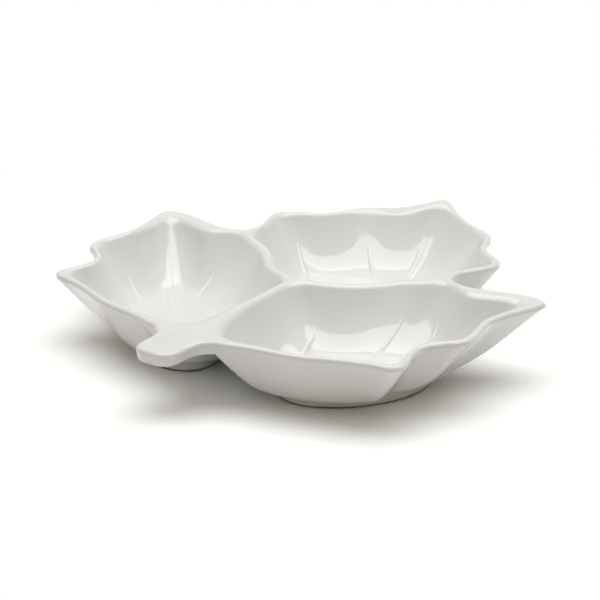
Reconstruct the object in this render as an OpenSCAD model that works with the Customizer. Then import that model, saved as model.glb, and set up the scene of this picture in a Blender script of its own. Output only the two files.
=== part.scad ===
// Leaf shaped serving dish: three bowls joined along shared crests, with a stub of stem,
// a foot ring under each bowl and thin ribs for the leaf's veins.
// The stem points to -Y, the tip of the leaf to +Y, and the dish stands on z = 0.

/* [Overall] */
// Width across the two side tips
leaf_w = 309; // [270:1:350]
// Length from the end of the stem to the tip of the leaf
leaf_l = 322; // [280:1:360]
// Mean height of the rim above the table
rim_h = 48; // [42:0.5:56]

/* [Bowls] */
// Thickness of the bowl floors
floor_t = 4.5; // [3.5:0.1:6]
// Width of the rounded lip on a free rim
lip_w = 6.3; // [5.6:0.1:7.2]
// Radius of the lip's outer edge
lip_r = 2.7; // [2.3:0.1:3.1]
// Height of the rounding on the inner side of a lip or crest
lip_drop = 3.4; // [2.4:0.1:4.2]
// Width of the crest that two bowls share
crest_w = 8.8; // [7.2:0.2:10]
// Depth of the clay under a crest, where two bowls are joined
web_h = 8; // [6:0.2:10]
// Steepness of the inner wall at the rim, against its mean steepness
in_flare = 1.95; // [1.6:0.05:2]
// Steepness of the outer wall at the rim, against its mean steepness
out_flare = 1.3; // [1.1:0.05:1.5]
// How far the foot of a side bowl's wall is set back beyond the fold in its outer wall
fold_in = 6; // [0:0.5:7]
// How far the middle of a floor lies below its edge
floor_sag = 0.8; // [0:0.1:1.5]

/* [Foot rings] */
// Height of the foot rings
foot_h = 6.5; // [5:0.1:9]
// Width of the clay in a foot ring
foot_w = 5; // [3.5:0.1:7]

/* [Veins] */
// Width of a vein rib at its thickest
vein_w = 3; // [2:0.1:4]
// Height of a vein rib at its thickest
vein_h = 1; // [0.6:0.1:1.6]
// Clearance between a vein rib and the bowl under it
vein_gap = 0.2; // [0.1:0.05:0.4]

/* [Smoothness] */
// Steps between two points of a rim
rim_steps = 3; // [2:1:4]
// Steps between two points of a crest
crest_steps = 2; // [1:1:3]

/* [Hidden] */

glaze = "whitesmoke";
bare_clay = "gainsboro";

// Outline of the leaf as [x, y, height over the mean rim] from the hub, where the three crests meet,
// drawn at drawn_w by drawn_l. Only the right half is drawn; the left half is its mirror image.
drawn_w = 308.8;
drawn_l = 322;
hub = [0, 0, -0.4];
crotch = [0, -84, -3.6];
stem_root = [23.5, -106.5, -4];
lobe_notch = [84.5, 57.2, 1.6];
side_rim = [stem_root, [45, -101.5, -3.6], [77.5, -95.8, -3.2], [101, -86.8, -2.8], [119, -81.6, -2.5],
    [131.5, -79.2, -2.3], [135, -75.5, -2.1], [134, -67, -1.9], [130.4, -55, -1.4], [130.4, -45, -0.8],
    [137.5, -38.2, 0.3], [145.5, -32.8, 1.4], [149, -26.5, 1.8], [149, -18, 2.1], [146.6, -7, 2.5],
    [144.3, 5, 2.8], [146.3, 20, 2.7], [151, 37, 2.5], [154.3, 49, 2.3], [153.8, 55, 2.2],
    [148.5, 58.8, 2.1], [140, 60, 2], [127, 58.4, 1.8], [113, 55, 1.6], [102, 52.8, 1.5],
    [93, 53.6, 1.6], lobe_notch];
tip_rim = [lobe_notch, [82, 65.5, 1.6], [86.2, 81, 1.3], [91.5, 94, 0.9], [92.6, 101, 0.7],
    [89.5, 108, 0.5], [80, 117.5, -0.2], [68.5, 127.3, -1], [62.5, 136.5, -1.2], [58.5, 147.5, -1.5],
    [53, 156.5, -1.7], [45, 162.5, -1.5], [34, 166, -0.6], [23, 170.2, 1.6], [11, 177, 4.8],
    [4, 181.6, 6.9], [0, 182.7, 7.4]];
stem_edge = [[0, -139.3, -5.2], [7, -138.8, -5.2], [12.6, -135.4, -5.1], [14.6, -128.5, -5],
    [14.8, -120.5, -4.7], [17, -112, -4.3], stem_root];

// Crests, each drawn from its inner end to its outer end
side_crest = [hub, [0, -28, -1.4], [0, -56, -2.6], crotch];
stem_crest = [crotch, [2.6, -91, -3.9], [8, -97, -4.1], [14.5, -101, -4.1], [21.4, -103.6, -4]];
tip_crest = [hub, [8, 4.6, -1], [16, 9.2, -1.7], [27.7, 15.5, -2.5], [35, 20.8, -2.8], [41.5, 28, -2.9],
    [46.5, 34.6, -2.6], [54.5, 40.8, -1.6], [66, 45.8, -0.4], [75, 49.8, 0.7], [82.2, 55.2, 1.5]];

// Ellipses: [middle x, middle y], [half length, half width], turn of the long axis.
// A floor dips a little inside its ellipse, and an underside is flat inside its base.
// The last number of a base is the share of fold_in by which it is set back.
side_floor = [[70, -30.5], [50, 24], 44];
tip_floor = [[0, 87.5], [45, 35], 0];
stem_core = [[0, -112], [4, 9], 0];
side_base = [[61.8, -27], [53, 40.3], 49, 1];
tip_base = [[0, 89], [52, 45], 0, 0];
stem_base = [[0, -117], [12.3, 20], 0, 0];
// The two side feet are not quite mirror images; the left one is drawn on the right and mirrored.
right_foot = [[68.5, -27.6], [48.9, 31.3], 56];
left_foot = [[63.6, -37.6], [49, 29], 40];
tip_foot = [[0, 88], [43, 36], 0];

// Veins, each drawn from the floor up to the rim
side_midrib = [[87, -13], [143.5, 45]];
hub_vein = [[31, -31], [22.5, -1]];
crest_vein = [[65, -4], [67.3, 31]];
notch_vein = [[92.5, 7], [88.8, 41]];
outer_vein = [[108, -17.5], [132, -13.5]];
tip_midrib_line = [[5, 112], [0, 173]];
upper_vein = [[17, 118], [44, 146]];
lower_vein = [[50, 85], [75, 105]];

kx = leaf_w / drawn_w;
ky = leaf_l / drawn_l;
middle_y = (tip_rim[len(tip_rim) - 1].y + stem_edge[0].y) / 2;
floor_h = foot_h + floor_t;
stem_h = rim_h - 4;
stem_drop = 0.2;
stem_crown = 0.4;
flat_over = 2;
wall_rows = [0, 0.2, 0.4, 0.6, 0.8, 1];
floor_row = 0.55;
floor_dip = 0.7;
fold_from = -35;
fold_turn = 9;
fold_to = -2;
fold_fade = 40;
vein_rows = 14;
foot_points = 72;

// Puts a drawn point in its place on the dish
function spot(p) = [p.x * kx, (p.y - middle_y) * ky];
function rim_spot(p) = concat(spot(p), rim_h + p.z);
function rim_spots(list) = [for (p = list) rim_spot(p)];
function flat(p) = [p.x, p.y];
function mirrored(list) = [for (p = list) len(p) == 3 ? [-p.x, p.y, p.z] : [-p.x, p.y]];
function reversed(list) = [for (i = [len(list) - 1 : -1 : 0]) list[i]];
function without_last(list) = [for (i = [0 : len(list) - 2]) list[i]];
function tail(list) = [for (i = [1 : len(list) - 1]) list[i]];
function unit(v) = v / norm(v);
function mix(a, b, t) = a + (b - a) * t;
function ease(t) = let (s = min(max(t, 0), 1)) s * s * (3 - 2 * s);

// Smooth curve through points: each span is a cubic whose end slopes come from the neighbours,
// weighed by distance
function apart(a, b) = max(norm(flat(b) - flat(a)), 0.001);
function slope_at(p, i) =
    let (last = len(p) - 1)
    i == 0 ? (p[1] - p[0]) / apart(p[0], p[1]) :
    i == last ? (p[last] - p[last - 1]) / apart(p[last - 1], p[last]) :
    let (before = apart(p[i - 1], p[i]), after = apart(p[i], p[i + 1]))
    ((p[i] - p[i - 1]) * after / before + (p[i + 1] - p[i]) * before / after) / (before + after);
function on_span(a, b, sa, sb, t) =
    a * (1 + 2 * t) * (1 - t) * (1 - t) + b * t * t * (3 - 2 * t)
    + sa * t * (1 - t) * (1 - t) - sb * t * t * (1 - t);
function curve(p, steps) = concat(
    [for (i = [0 : len(p) - 2], k = [0 : steps - 1])
        let (d = apart(p[i], p[i + 1]))
        on_span(p[i], p[i + 1], slope_at(p, i) * d, slope_at(p, i + 1) * d, k / steps)],
    [p[len(p) - 1]]);

// Outward direction of the leaf's outline at a point between its two neighbours
function outward(before, after) = let (d = unit(flat(after) - flat(before))) [d.y, -d.x];

// Stretch of a bowl's edge: each entry is [point, way to the lip's top, way inwards, free or joined].
// The ways are lengthened so that the lip keeps its width where the rim runs aslant to the rays.
function ray_way(list, i, middle) =
    let (last = len(list) - 1,
        ray = unit(flat(list[i]) - middle),
        back = outward(list[max(i - 1, 0)], list[max(i, 1)]),
        front = outward(list[min(i, last - 1)], list[min(i + 1, last)]))
    ray / max(min(back * ray, front * ray), 0.5);
function free_edge(list, middle, first_way, last_way) =
    [for (i = [0 : len(list) - 1])
        let (way = ray_way(list, i, middle),
            near_first = 1 - ease(apart(list[i], list[0]) / 14),
            near_last = 1 - ease(apart(list[i], list[len(list) - 1]) / 14))
        [list[i], mix(mix(way, first_way, near_first), last_way, near_last), way, 1]];
function joined_edge(list, middle) =
    [for (i = [0 : len(list) - 1]) let (way = ray_way(list, i, middle)) [list[i], way, way, 0]];

// Radius of an ellipse in a direction given as an angle
function floor_reach(shape, angle, over) =
    let (half = [shape[1].x * kx + over, shape[1].y * ky + over], turned = angle - shape[2])
    half.x * half.y / norm([half.y * cos(turned), half.x * sin(turned)]);
function angle_of(v) = atan2(v.y, v.x);

// Radius of an underside in a direction, set back from the fold on and easing out towards the side tip
function base_reach(base, angle) =
    let (begun = ease((angle - fold_from) / fold_turn), ended = ease((angle - fold_to) / fold_fade))
    floor_reach(base, angle, flat_over) - base[3] * fold_in * begun * (1 - ended);

// Wall height from floor (0) to rim (1): level at the floor, then rising with the given flare
function wall_rise(q, flare) = (3 - flare) * q * q + (flare - 2) * q * q * q;

// Points of the lip at one entry of an edge
function lip_top(e) = concat(flat(e[0]) - e[1] * lip_r * e[3], e[0].z);
function lip_inside(e, drop) =
    concat(flat(lip_top(e)) - e[2] * (e[3] == 1 ? lip_w - lip_r : crest_w / 2), e[0].z - drop);

// One profile of a shell, from the floor's middle over the lip to the middle of the underside
function profile(e, shape, base, floor_z, under_z, sag, drop) =
    let (middle = spot(shape[0]),
        under_middle = spot(base[0]),
        inside = lip_inside(e, drop),
        top = lip_top(e),
        outside = e[0],
        in_dir = unit(flat(inside) - middle),
        in_edge = middle + in_dir * floor_reach(shape, angle_of(in_dir), 0),
        out_dir = unit(flat(outside) - under_middle),
        out_edge = under_middle + out_dir * base_reach(base, angle_of(out_dir)),
        run = norm(flat(inside) - in_edge),
        steep = max(in_flare * (inside.z - floor_z) / run, 0.6),
        bend = min(drop / steep / norm(flat(top) - flat(inside)), 0.9),
        bend_at = concat(mix(flat(inside), flat(top), bend), top.z),
        low = e[3] == 1 ? lip_r : web_h)
    concat(
        [concat(mix(middle, in_edge, floor_row), floor_z - sag * floor_dip)],
        [for (q = wall_rows)
            concat(mix(in_edge, flat(inside), q), mix(floor_z, inside.z, wall_rise(q, in_flare)))],
        [for (t = [0.35, 0.7, 1]) inside * (1 - t) * (1 - t) + bend_at * 2 * t * (1 - t) + top * t * t],
        [for (k = [1 : 3])
            concat(flat(top) + e[1] * lip_r * e[3] * sin(30 * k),
                top.z - (e[3] == 1 ? lip_r * (1 - cos(30 * k)) : web_h * k / 3))],
        [for (q = [0.75, 0.5, 0.25, 0])
            concat(mix(out_edge, flat(outside), q), mix(under_z, outside.z - low, wall_rise(q, out_flare)))],
        [concat(mix(under_middle, out_edge, 0.5), under_z)]);

// Closed shell swept round its middle from the profiles of its edge
module shell(edge, shape, base, floor_z, under_z, sag, drop) {
    rows = [for (e = edge) profile(e, shape, base, floor_z, under_z, sag, drop)];
    turns = len(rows);
    rings = len(rows[0]);
    floor_middle = turns * rings;
    under_middle = floor_middle + 1;
    points = concat([for (row = rows) each row],
        [concat(spot(shape[0]), floor_z - sag), concat(spot(base[0]), under_z)]);
    sides = [for (i = [0 : turns - 1], k = [0 : rings - 2])
        let (a = i * rings + k, b = ((i + 1) % turns) * rings + k)
        each [[a, b, a + 1], [b, b + 1, a + 1]]];
    caps = [for (i = [0 : turns - 1])
        let (a = i * rings, b = ((i + 1) % turns) * rings)
        each [[floor_middle, b, a], [under_middle, a + rings - 1, b + rings - 1]]];
    polyhedron(points, concat(sides, caps), convexity = 6);
}

// Edges of the pieces, counter-clockwise from above
root_way = outward(rim_spot(stem_edge[len(stem_edge) - 2]), rim_spot(side_rim[1]));
notch_way = outward(rim_spot(side_rim[len(side_rim) - 2]), rim_spot(tip_rim[1]));
side_crest_line = curve(rim_spots(side_crest), crest_steps);
stem_crest_line = curve(rim_spots(stem_crest), crest_steps);
tip_crest_line = curve(rim_spots(tip_crest), crest_steps);
side_rim_line = curve(rim_spots(side_rim), rim_steps);
whole_tip_rim = concat(tip_rim, tail(reversed(mirrored(tip_rim))));
tip_rim_line = curve(rim_spots(whole_tip_rim), rim_steps);
whole_stem_edge = concat(without_last(reversed(mirrored(stem_edge))), stem_edge);
stem_edge_line = curve(rim_spots(whole_stem_edge), rim_steps);
left_root_way = [-root_way.x, root_way.y];
left_notch_way = [-notch_way.x, notch_way.y];

side_edge = concat(
    without_last(joined_edge(side_crest_line, spot(side_floor[0]))),
    without_last(joined_edge(stem_crest_line, spot(side_floor[0]))),
    free_edge(side_rim_line, spot(side_floor[0]), root_way, notch_way),
    tail(without_last(joined_edge(reversed(tip_crest_line), spot(side_floor[0])))));
tip_edge = concat(
    without_last(joined_edge(tip_crest_line, spot(tip_floor[0]))),
    free_edge(tip_rim_line, spot(tip_floor[0]), notch_way, left_notch_way),
    tail(without_last(joined_edge(reversed(mirrored(tip_crest_line)), spot(tip_floor[0])))));
stem_outline = concat(
    tail(joined_edge(reversed(stem_crest_line), spot(stem_core[0]))),
    tail(without_last(joined_edge(mirrored(stem_crest_line), spot(stem_core[0])))),
    free_edge(stem_edge_line, spot(stem_core[0]), left_root_way, root_way));

// Height of a bowl's inner surface over a place inside it
function sweep_angle(p, middle, start) = (angle_of(flat(p) - middle) - start + 720) % 360;
function wall_table(edge, shape) =
    let (middle = spot(shape[0]),
        lips = [for (e = edge) lip_inside(e, lip_drop)],
        start = angle_of(flat(lips[0]) - middle),
        list = [for (p = lips) [sweep_angle(p, middle, start), norm(flat(p) - middle), p.z]])
    [start, concat(list, [[360, list[0][1], list[0][2]]])];
function surface_z(place, shape, table) =
    let (middle = spot(shape[0]),
        turn = sweep_angle(place, middle, table[0]),
        reach = norm(place - middle),
        edge = floor_reach(shape, angle_of(place - middle), 0),
        rim_reach = lookup(turn, [for (t = table[1]) [t[0], t[1]]]),
        rim_z = lookup(turn, [for (t = table[1]) [t[0], t[2]]]),
        q = (reach - edge) / (rim_reach - edge))
    q > 0 ? mix(floor_h, rim_z, lookup(q, [for (k = wall_rows) [k, wall_rise(k, in_flare)]])) :
        floor_h - floor_sag * lookup(reach / edge, [[0, 1], [floor_row, floor_dip], [1, 0]]);

// Rib laid on a bowl's inner surface, thickest at a third of its length and fine at both ends
module rib(line, shape, table) {
    from = spot(line[0]);
    to = spot(line[1]);
    across = let (d = unit(to - from)) [-d.y, d.x];
    section = [[-1, 0], [-0.55, 0.75], [0, 1], [0.55, 0.75], [1, 0]];
    sides = len(section);
    rows = [for (i = [0 : vein_rows])
        let (t = i / vein_rows,
            swell = 0.25 + 0.75 * (t < 0.35 ? ease(t / 0.35) : 1 - ease((t - 0.35) / 0.65)),
            at = mix(from, to, t))
        [for (s = section)
            let (place = at + across * s.x * swell * vein_w / 2)
            concat(place, surface_z(place, shape, table) + vein_gap + s.y * swell * vein_h)]];
    faces = [for (i = [0 : vein_rows - 1], k = [0 : sides - 1])
        let (a = i * sides + k, b = i * sides + (k + 1) % sides)
        each [[a, b, a + sides], [b, b + sides, a + sides]]];
    ends = [[for (k = [sides - 1 : -1 : 0]) k], [for (k = [0 : sides - 1]) vein_rows * sides + k]];
    polyhedron([for (row = rows) each row], concat(faces, ends), convexity = 4);
}

side_table = wall_table(side_edge, side_floor);
tip_table = wall_table(tip_edge, tip_floor);

// Oval foot ring, standing on the table and meeting the underside of its bowl
module oval(shape, less) {
    polygon([for (i = [0 : foot_points - 1])
        let (a = 360 * i / foot_points,
            half = [shape[1].x * kx - less, shape[1].y * ky - less],
            p = [half.x * cos(a), half.y * sin(a)])
        spot(shape[0]) + [p.x * cos(shape[2]) - p.y * sin(shape[2]), p.x * sin(shape[2]) + p.y * cos(shape[2])]]);
}

module foot_ring(shape) {
    linear_extrude(foot_h) difference() {
        oval(shape, 0);
        oval(shape, foot_w);
    }
}

module side_bowl() { shell(side_edge, side_floor, side_base, floor_h, foot_h, floor_sag, lip_drop); }
module right_bowl() { color(glaze) side_bowl(); }
module left_bowl() { color(glaze) mirror([1, 0, 0]) side_bowl(); }
module tip_bowl() { color(glaze) shell(tip_edge, tip_floor, tip_base, floor_h, foot_h, floor_sag, lip_drop); }
module stem() {
    color(glaze)
    shell(stem_outline, stem_core, stem_base, stem_h, stem_h - web_h, -stem_crown, stem_drop);
}
module right_foot_ring() { color(bare_clay) foot_ring(right_foot); }
module left_foot_ring() { color(bare_clay) mirror([1, 0, 0]) foot_ring(left_foot); }
module tip_foot_ring() { color(bare_clay) foot_ring(tip_foot); }
module right_vein(line) { color(glaze) rib(line, side_floor, side_table); }
module left_vein(line) { color(glaze) mirror([1, 0, 0]) rib(line, side_floor, side_table); }
module tip_vein(line) { color(glaze) rib(line, tip_floor, tip_table); }

right_bowl();
left_bowl();
tip_bowl();
stem();
right_foot_ring();
left_foot_ring();
tip_foot_ring();
right_vein(side_midrib);  // right_midrib
right_vein(hub_vein);  // right_hub_vein
right_vein(crest_vein);  // right_crest_vein
right_vein(notch_vein);  // right_notch_vein
right_vein(outer_vein);  // right_outer_vein
left_vein(side_midrib);  // left_midrib
left_vein(hub_vein);  // left_hub_vein
left_vein(crest_vein);  // left_crest_vein
left_vein(notch_vein);  // left_notch_vein
left_vein(outer_vein);  // left_outer_vein
tip_vein(tip_midrib_line);  // tip_midrib
tip_vein(upper_vein);  // tip_right_upper_vein
tip_vein(lower_vein);  // tip_right_lower_vein
tip_vein(mirrored(upper_vein));  // tip_left_upper_vein
tip_vein(mirrored(lower_vein));  // tip_left_lower_vein
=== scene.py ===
import bpy
import numpy as np
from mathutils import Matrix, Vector


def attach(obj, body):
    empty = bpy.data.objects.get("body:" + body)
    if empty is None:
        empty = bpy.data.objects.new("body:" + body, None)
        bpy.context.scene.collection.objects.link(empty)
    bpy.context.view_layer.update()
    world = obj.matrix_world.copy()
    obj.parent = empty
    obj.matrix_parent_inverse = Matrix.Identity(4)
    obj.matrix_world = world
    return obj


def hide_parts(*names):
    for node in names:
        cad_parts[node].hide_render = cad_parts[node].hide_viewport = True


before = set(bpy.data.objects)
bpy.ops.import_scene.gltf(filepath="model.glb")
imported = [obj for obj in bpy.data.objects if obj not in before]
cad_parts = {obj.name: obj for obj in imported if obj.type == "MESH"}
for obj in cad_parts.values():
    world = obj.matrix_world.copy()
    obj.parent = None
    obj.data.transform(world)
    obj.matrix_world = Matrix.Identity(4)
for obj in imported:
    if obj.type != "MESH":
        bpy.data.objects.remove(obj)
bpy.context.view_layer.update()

# Looks of the leaf shaped serving dish. The glazed bowls, the stem and the foot rings are the
# same surfaces as the solids, worked out finely, with the veins raised out of the glaze.
# Lengths are in millimetres until a mesh is written, and in metres there.
MM = 0.001

# Sizes of the solids; width and length a hair under theirs, because a finer outline bulges
# between the points of the solids' own
LEAF_W, LEAF_L = 308.97, 321.98
DRAWN_W, DRAWN_L = 308.8, 322.0
# Height of the mean rim, and how far the middle of the stem lies below it
RIM_H, STEM_DIP = 48.0, 4.0
# Thickness of a floor, rounding of the lip, depth of the joint between two pieces
FLOOR_T, LIP_R, WEB_H = 4.5, 2.7, 8.0
# Steepness of the walls at the rim, inside and outside, and how far a floor sags
IN_FLARE, OUT_FLARE, FLOOR_SAG = 1.95, 1.3, 0.8
# Drop of the lip to its inner edge, swell of the stem's top, reach of the underside past its oval
LIP_DROP, STEM_CROWN, FLAT_OVER = 3.4, 0.1, 2.0
# Width of the lip's top on a free rim, on a crest that two pieces share, and on the stem
LIP_IN, CREST_IN, STEM_IN = 3.6, 4.4, 3.0
# Wider and deeper rounding of the crests where they open out into the stem, and of the lip along
# the far side of a side tip and on the left of the leaf's tip, with the corners of these stretches
STEM_SHELF, STEM_FALL = 16.0, 8.0
TIP_SHELF, TIP_FALL = 11.0, 5.0
SIDE_STRETCH, LEAF_STRETCH = (107, 44), (-44, 152)
# Floor drawn out a little towards the hub, with the width of the angle over which that eases off
HUB_FLOOR, HUB_ANGLE = 7.0, 17.0
# Upright edge below the lip, in full where two pieces meet at a notch
SKIRT_H, SKIRT_IN, NOTCH_SKIRT_IN = 0.5, 0.1, 0.8
# Set-back of a side bowl's wall beyond its fold: depth, and angles where it begins and eases out
FOLD_IN, FOLD_FROM, FOLD_TURN, FOLD_TO, FOLD_FADE = 6.0, -35.0, 9.0, -2.0, 40.0
# Foot ring: height and width, spread and depth of the hollow curve under the bowl, rounding of
# the standing edge, height at which the upright face ends
FOOT_H, FOOT_W = 6.5, 5.0
FOOT_SPREAD, FOOT_HOLLOW, FOOT_EDGE, FOOT_WAIST = 1.3, 2.2, 1.1, 2.4
FLOOR_H = FOOT_H + FLOOR_T
STEM_H = RIM_H - STEM_DIP

# How finely the skin is sampled
POINT_GAP = 0.66
SPAN_CUTS = 32
FLOOR_ROWS, WALL_ROWS, LIP_ROWS, BEAD_ROWS = 13, 42, 10, 8
SKIRT_ROWS, OUTER_ROWS, UNDER_ROWS = 2, 34, 3
FOOT_AROUND, FOOT_HOLLOW_ROWS, FOOT_EDGE_ROWS = 360, 8, 7
# Floor rows crowd towards the wall as shares to this power
FLOOR_CROWD = 0.8
# Points of two skins count as one where they agree when counted in this many steps a millimetre
WELD_STEPS = 1e4

# Softening of an edge along its length: the usual one, the lip's inner edge, and that edge by the
# stem's root with how far this reaches
SOFTENING = 2.6
LIP_SOFTENING, ROOT_SOFTENING, ROOT_NEAR = 4.5, 12.0, 16.0
# Distance from a notch over which the lip turns to the notch's own direction
NOTCH_BLEND = 14.0
# Rounding of the valleys in the walls: the usual one, the sharper one by the hub and the wide one
# below the leaf's tip and the side tips, with how far these two reach
VALLEY_SOFTENING, HUB_SOFTENING, TIP_SOFTENING = 9.0, 4.0, 16.0
HUB_NEAR, TIP_NEAR = 22.0, 36.0
# Rounding that holds the corners of the inner edge in, how gently it takes hold, and the rounding
# of the folds in the outer wall
CORNER_SOFTENING, CLIP_EASE = 6.0, 0.8
FOLD_SOFTENING = 7.0
# Limits that keep a slanting lip from growing too wide and its curve from turning over
LEAST_LEAN, LEAST_SLOPE, LEAST_RUN, MOST_BEND = 0.5, 0.6, 0.1, 0.9
# Lengths that keep a division by a distance from failing
LEAST_STEP, TINY = 1e-3, 1e-9

# Outline of the right half of the leaf: x, y from the hub, height over the mean rim
HUB = (0, 0, -0.4)
CROTCH = (0, -84, -3.6)
STEM_ROOT = (23.5, -106.5, -4)
LOBE_NOTCH = (84.5, 57.2, 1.6)
SIDE_RIM = [STEM_ROOT, (45, -101.5, -3.6), (77.5, -95.8, -3.2), (101, -86.8, -2.8),
            (119, -81.6, -2.5), (131.5, -79.2, -2.3), (135, -75.5, -2.1), (134, -67, -1.9),
            (130.4, -55, -1.4), (130.4, -45, -0.8), (137.5, -38.2, 0.3), (145.5, -32.8, 1.4),
            (149, -26.5, 1.8), (149, -18, 2.1), (146.6, -7, 2.5), (144.3, 5, 2.8),
            (146.3, 20, 2.7), (151, 37, 2.5), (154.3, 49, 2.3), (153.8, 55, 2.2),
            (148.5, 58.8, 2.1), (140, 60, 2), (127, 58.4, 1.8), (113, 55, 1.6),
            (102, 52.8, 1.5), (93, 53.6, 1.6), LOBE_NOTCH]
TIP_RIM = [LOBE_NOTCH, (82, 65.5, 1.6), (86.2, 81, 1.3), (91.5, 94, 0.9), (92.6, 101, 0.7),
           (89.5, 108, 0.5), (80, 117.5, -0.2), (68.5, 127.3, -1), (62.5, 136.5, -1.2),
           (58.5, 147.5, -1.5), (53, 156.5, -1.7), (45, 162.5, -1.5), (34, 166, -0.6),
           (23, 170.2, 1.6), (11, 177, 4.8), (4, 181.6, 6.9), (0, 182.7, 7.4)]
SIDE_TIP, LEAF_TIP = (154, 52), (0, 182)
STEM_EDGE = [(0, -139.3, -5.2), (7, -138.8, -5.2), (12.6, -135.4, -5.1), (14.6, -128.5, -5),
             (14.8, -120.5, -4.7), (17, -112, -4.3), STEM_ROOT]
SIDE_CREST = [HUB, (0, -28, -1.4), (0, -56, -2.6), CROTCH]
STEM_CREST = [CROTCH, (2.6, -91, -3.9), (8, -97, -4.1), (14.5, -101, -4.1), (21.4, -103.6, -4)]
TIP_CREST = [HUB, (8, 4.6, -1), (16, 9.2, -1.7), (27.7, 15.5, -2.5), (35, 20.8, -2.8),
             (41.5, 28, -2.9), (46.5, 34.6, -2.6), (54.5, 40.8, -1.6), (66, 45.8, -0.4),
             (75, 49.8, 0.7), (82.2, 55.2, 1.5)]

# Ovals: middle, half length and half width, turn of the long axis
SIDE_FLOOR = ((70, -30.5), (50, 24), 44)
TIP_FLOOR = ((0, 87.5), (45, 35), 0)
SIDE_BASE = ((61.8, -27), (53, 40.3), 49)
TIP_BASE = ((0, 89), (52, 45), 0)
STEM_CORE = ((0, -112), (4, 9), 0)
STEM_BASE = ((0, -117), (12.3, 20), 0)
RIGHT_FOOT = ((68.5, -27.6), (48.9, 31.3), 56)
LEFT_FOOT = ((63.6, -37.6), (49, 29), 40)
TIP_FOOT = ((0, 88), (43, 36), 0)

# Veins from the floor up to the rim. A midrib is a broad flat band with a fine groove along its
# middle, given by its foot, its head, its half width at each and its height.
SIDE_MIDRIB = ((87, -13), (148, 50), 6.5, 2.4, 0.7)
TIP_MIDRIB = ((5, 112), (0, 174), 2.4, 5.0, 0.7)
# The fine veins share their half widths and, where nothing else is said, their height
FINE_FOOT_W, FINE_HEAD_W, FINE_H = 1.5, 1.0, 0.9
FAINT_HUB_H, FAINT_CREST_H = 0.25, 0.2
HUB_VEIN, CREST_VEIN = ((31, -31), (22.5, -1)), ((65, -4), (67.3, 31))
NOTCH_VEIN, OUTER_VEIN = ((92.5, 7), (88.8, 41)), ((108, -17.5), (132, -13.5))
TIP_UPPER_VEIN, TIP_LOWER_VEIN = ((17, 118), (44, 146)), ((50, 85), (75, 105))
# Half width over which a vein counts as broad, and width and depth of the groove in such a band
BROAD_VEIN = 3.0
BAND_GROOVE_W, BAND_GROOVE = 0.45, 0.35
# Along a vein, in shares of its length: lead before the foot, place of the full height, end of the
# taper and how much height that takes, start and length of the last fade
VEIN_LEAD, VEIN_PEAK, VEIN_END, VEIN_TAPER = 0.12, 0.35, 1.02, 0.8
FADE_FROM, FADE_LENGTH = 0.94, 0.1
# Across a fine vein: depth of the grooves beside it, their place and width in half widths, and the
# share of its width that is left at its ends; powers that round off a band and a ridge
VEIN_GROOVE, GROOVE_AT, GROOVE_W = 0.16, 1.35, 0.4
THIN_END = 0.45
BAND_FLATNESS, BAND_SHOULDER, RIDGE_SHOULDER = 4, 1.5, 1.4

# Unevenness of a hand finished wall: height of each wave, radians a millimetre along x and y, start
HAND_WAVES = [(0.30, 0.113, 0.067, 0.7), (0.26, -0.081, 0.124, 2.1), (0.17, 0.203, -0.094, 4.4),
              (0.13, 0.071, 0.245, 1.3), (0.08, 0.317, 0.213, 5.2)]
# Power that puts the strongest unevenness just below half way up the wall, and place and width of
# the pooled glaze at its foot
SWAY_POWER = 0.8
POOL_AT, POOL_W = 0.08, 0.1

# How the rows of a skin lie: shares across the floor, up the inner wall, down the outer wall and
# across the underside, then how far up the wall each row is, and where lip, bead and wall begin
FLOOR_SHARES = np.linspace(0, 1, FLOOR_ROWS + 1)[1:-1] ** FLOOR_CROWD
WALL_SHARES = np.linspace(0, 1, WALL_ROWS)
OUTER_SHARES = np.linspace(1, 0, OUTER_ROWS + 1)[1:]
UNDER_SHARES = np.linspace(1, 0, UNDER_ROWS + 1)[1:-1]
UP_WALL = np.concatenate([np.zeros(len(FLOOR_SHARES)), WALL_SHARES,
                          np.ones(LIP_ROWS + BEAD_ROWS + SKIRT_ROWS), OUTER_SHARES,
                          np.zeros(len(UNDER_SHARES))])
FIRST_LIP = len(FLOOR_SHARES) + WALL_ROWS
FIRST_BEAD = FIRST_LIP + LIP_ROWS
FIRST_SKIRT = FIRST_BEAD + BEAD_ROWS
FIRST_OUTER = FIRST_SKIRT + SKIRT_ROWS

WIDEN, LENGTHEN = LEAF_W / DRAWN_W, LEAF_L / DRAWN_L
MIDDLE_Y = (TIP_RIM[-1][1] + STEM_EDGE[0][1]) / 2
FLIP_X = np.array([-1.0, 1.0, 1.0])


def spots(points):
    """Drawn places on the dish: x widened to the leaf's width, y counted from the middle of its
    length."""
    p = np.atleast_2d(np.asarray(points, float))
    return np.column_stack([p[:, 0] * WIDEN, (p[:, 1] - MIDDLE_Y) * LENGTHEN])


def rim_spots(points):
    """Places of rim points, with their height over the table as third number."""
    p = np.asarray(points, float)
    return np.column_stack([spots(p), RIM_H + p[:, 2]])


def unit(v):
    """Vectors divided by their length."""
    return v / np.maximum(np.linalg.norm(v, axis=-1, keepdims=True), TINY)


def ease(t):
    """Soft step from 0 to 1: three t squared less two t cubed, held at its ends."""
    s = np.clip(t, 0, 1)
    return s * s * (3 - 2 * s)


def mix(a, b, t):
    """Part way from a to b."""
    return a + (b - a) * t


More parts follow.
